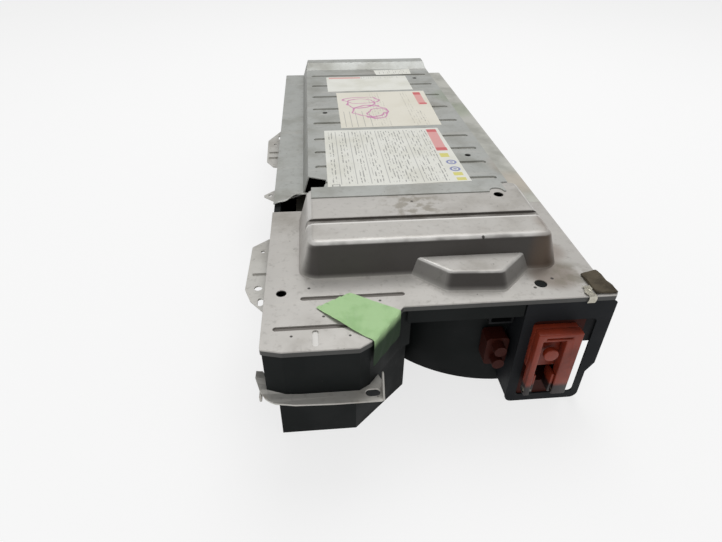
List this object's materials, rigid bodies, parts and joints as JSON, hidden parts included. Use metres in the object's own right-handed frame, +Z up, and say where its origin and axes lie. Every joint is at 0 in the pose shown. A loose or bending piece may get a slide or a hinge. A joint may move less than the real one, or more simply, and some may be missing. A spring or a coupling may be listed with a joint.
{
  "type": "hybrid car traction battery pack",
  "caption": "Long flat traction battery pack: pressed steel case under two raised, ribbed lids, side brackets and a service plug with a swing-out lever in its end panel.",
  "frame": {"origin": "middle of the flat underside of the lower case, on the pack's centre line", "axes": "+X across the pack, to the right when facing the service plug end; +Y along the pack, away from the service plug end; +Z up"},
  "size_m": [0.3955, 0.917, 0.2012],
  "materials": {
    "case_paint": "black electro-coat on pressed steel, dusty",
    "lid_steel": "galvanised sheet, dulled and spotted",
    "panel_paint": "black electro-coat",
    "black_plastic": "moulded, satin",
    "orange_plastic": "moulded high-voltage orange, dirty",
    "bolt_steel": "zinc plated",
    "bracket_steel": "galvanised sheet, bent and scuffed",
    "pad_foam": "closed-cell foam, brown with dust",
    "tab_metal": "creased foil strip",
    "tape_paper": "crepe masking tape, wrinkled",
    "label_film": null,
    "end_plate_plastic": "glass-filled moulding",
    "frame_plastic": "moulded, natural grey",
    "copper": "nickel-flashed copper",
    "hose_rubber": "black rubber",
    "ecu_metal": "bare sheet",
    "relay_plastic": "moulded, black",
    "module_plastic": "moulded case, dark grey"
  },
  "bodies": {
    "pack": {"battery_ecu": "ecu_metal", "battery_module_01": "module_plastic", "battery_module_02": "module_plastic", "battery_module_03": "module_plastic", "battery_module_04": "module_plastic", "battery_module_05": "module_plastic", "battery_module_06": "module_plastic", "battery_module_07": "module_plastic", "battery_module_08": "module_plastic", "battery_module_09": "module_plastic", "battery_module_10": "module_plastic", "battery_module_11": "module_plastic", "battery_module_12": "module_plastic", "battery_module_13": "module_plastic", "battery_module_14": "module_plastic", "battery_module_15": "module_plastic", "battery_module_16": "module_plastic", "battery_module_17": "module_plastic", "battery_module_18": "module_plastic", "battery_module_19": "module_plastic", "battery_module_20": "module_plastic", "battery_module_21": "module_plastic", "battery_module_22": "module_plastic", "battery_module_23": "module_plastic", "battery_module_24": "module_plastic", "battery_module_25": "module_plastic", "battery_module_26": "module_plastic", "battery_module_27": "module_plastic", "battery_module_28": "module_plastic", "bracket_bolts": "bolt_steel", "bus_bar_frame_left": "frame_plastic", "bus_bar_frame_right": "frame_plastic", "bus_bars": "copper", "corner_pad": "pad_foam", "current_sensor": "black_plastic", "earth_tab": "tab_metal", "end_plate_far": "end_plate_plastic", "end_plate_near": "end_plate_plastic", "far_lid": "lid_steel", "front_bracket": "bracket_steel", "hv_connector": "orange_plastic", "junction_block": "black_plastic", "labels": "label_film", "lever_pins": "bolt_steel", "lower_case": "case_paint", "main_relays": "relay_plastic", "masking_tape": "tape_paper", "near_lid": "lid_steel", "plug_panel": "panel_paint", "precharge_resistor": "ecu_metal", "service_plug_grip": "orange_plastic", "service_plug_socket": "black_plastic", "side_bracket_far": "bracket_steel", "side_bracket_near": "bracket_steel", "side_lug": "bracket_steel", "signal_connector": "black_plastic", "terminal_nuts": "bolt_steel", "tie_rods": "bolt_steel", "vent_hose": "hose_rubber"},
    "lever": {"service_plug_lever": "orange_plastic"}
  },
  "joints": [
    {"name": "plug_lever", "type": "hinge", "parent": "pack", "child": "lever", "pos_m": [0.138, -0.4087, 0.036], "axis": [1, 0, 0], "range_deg": [0, 90]}
  ]
}
